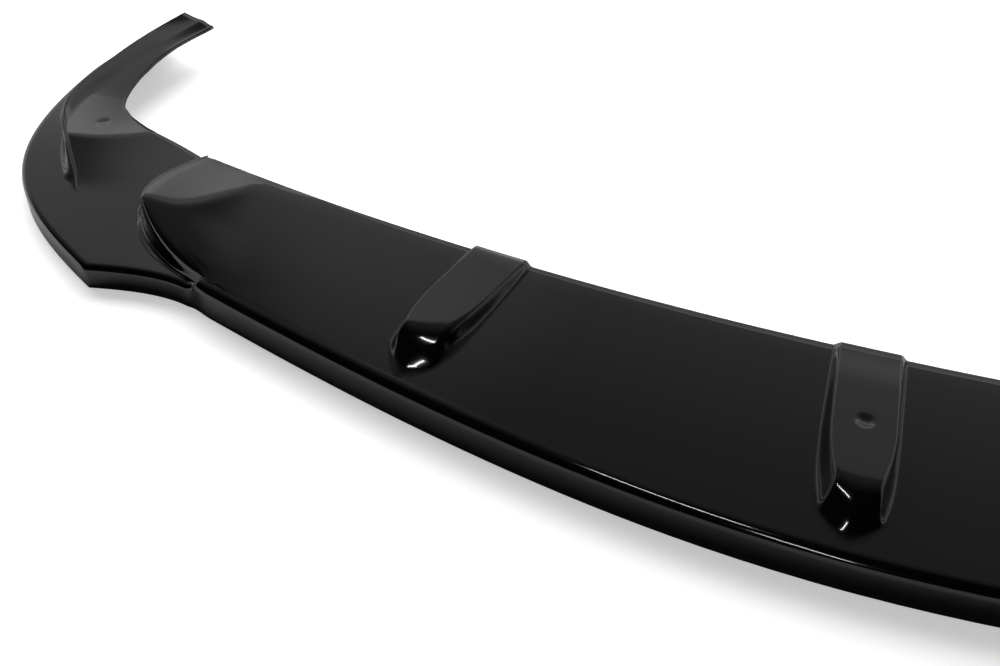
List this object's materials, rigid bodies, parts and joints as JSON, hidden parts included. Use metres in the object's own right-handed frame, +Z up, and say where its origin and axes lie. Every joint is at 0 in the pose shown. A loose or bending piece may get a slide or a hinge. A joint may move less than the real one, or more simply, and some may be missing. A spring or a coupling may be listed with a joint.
{
  "type": "front splitter lip",
  "caption": "Thin formed front splitter lip with a raised centre panel, hollow air-guide fins, low bevelled side plates and upswept ridged wings.",
  "frame": {"origin": "middle of the bounding box in plan, on the plane of the lip's bottom edge", "axes": "+Z up, +Y towards the rear of the car, X across it"},
  "size_m": [1.636, 0.486, 0.052],
  "materials": {
    "gloss_black": "gloss"
  },
  "bodies": {
    "root": {"splitter_lip": "gloss_black"}
  },
  "joints": []
}
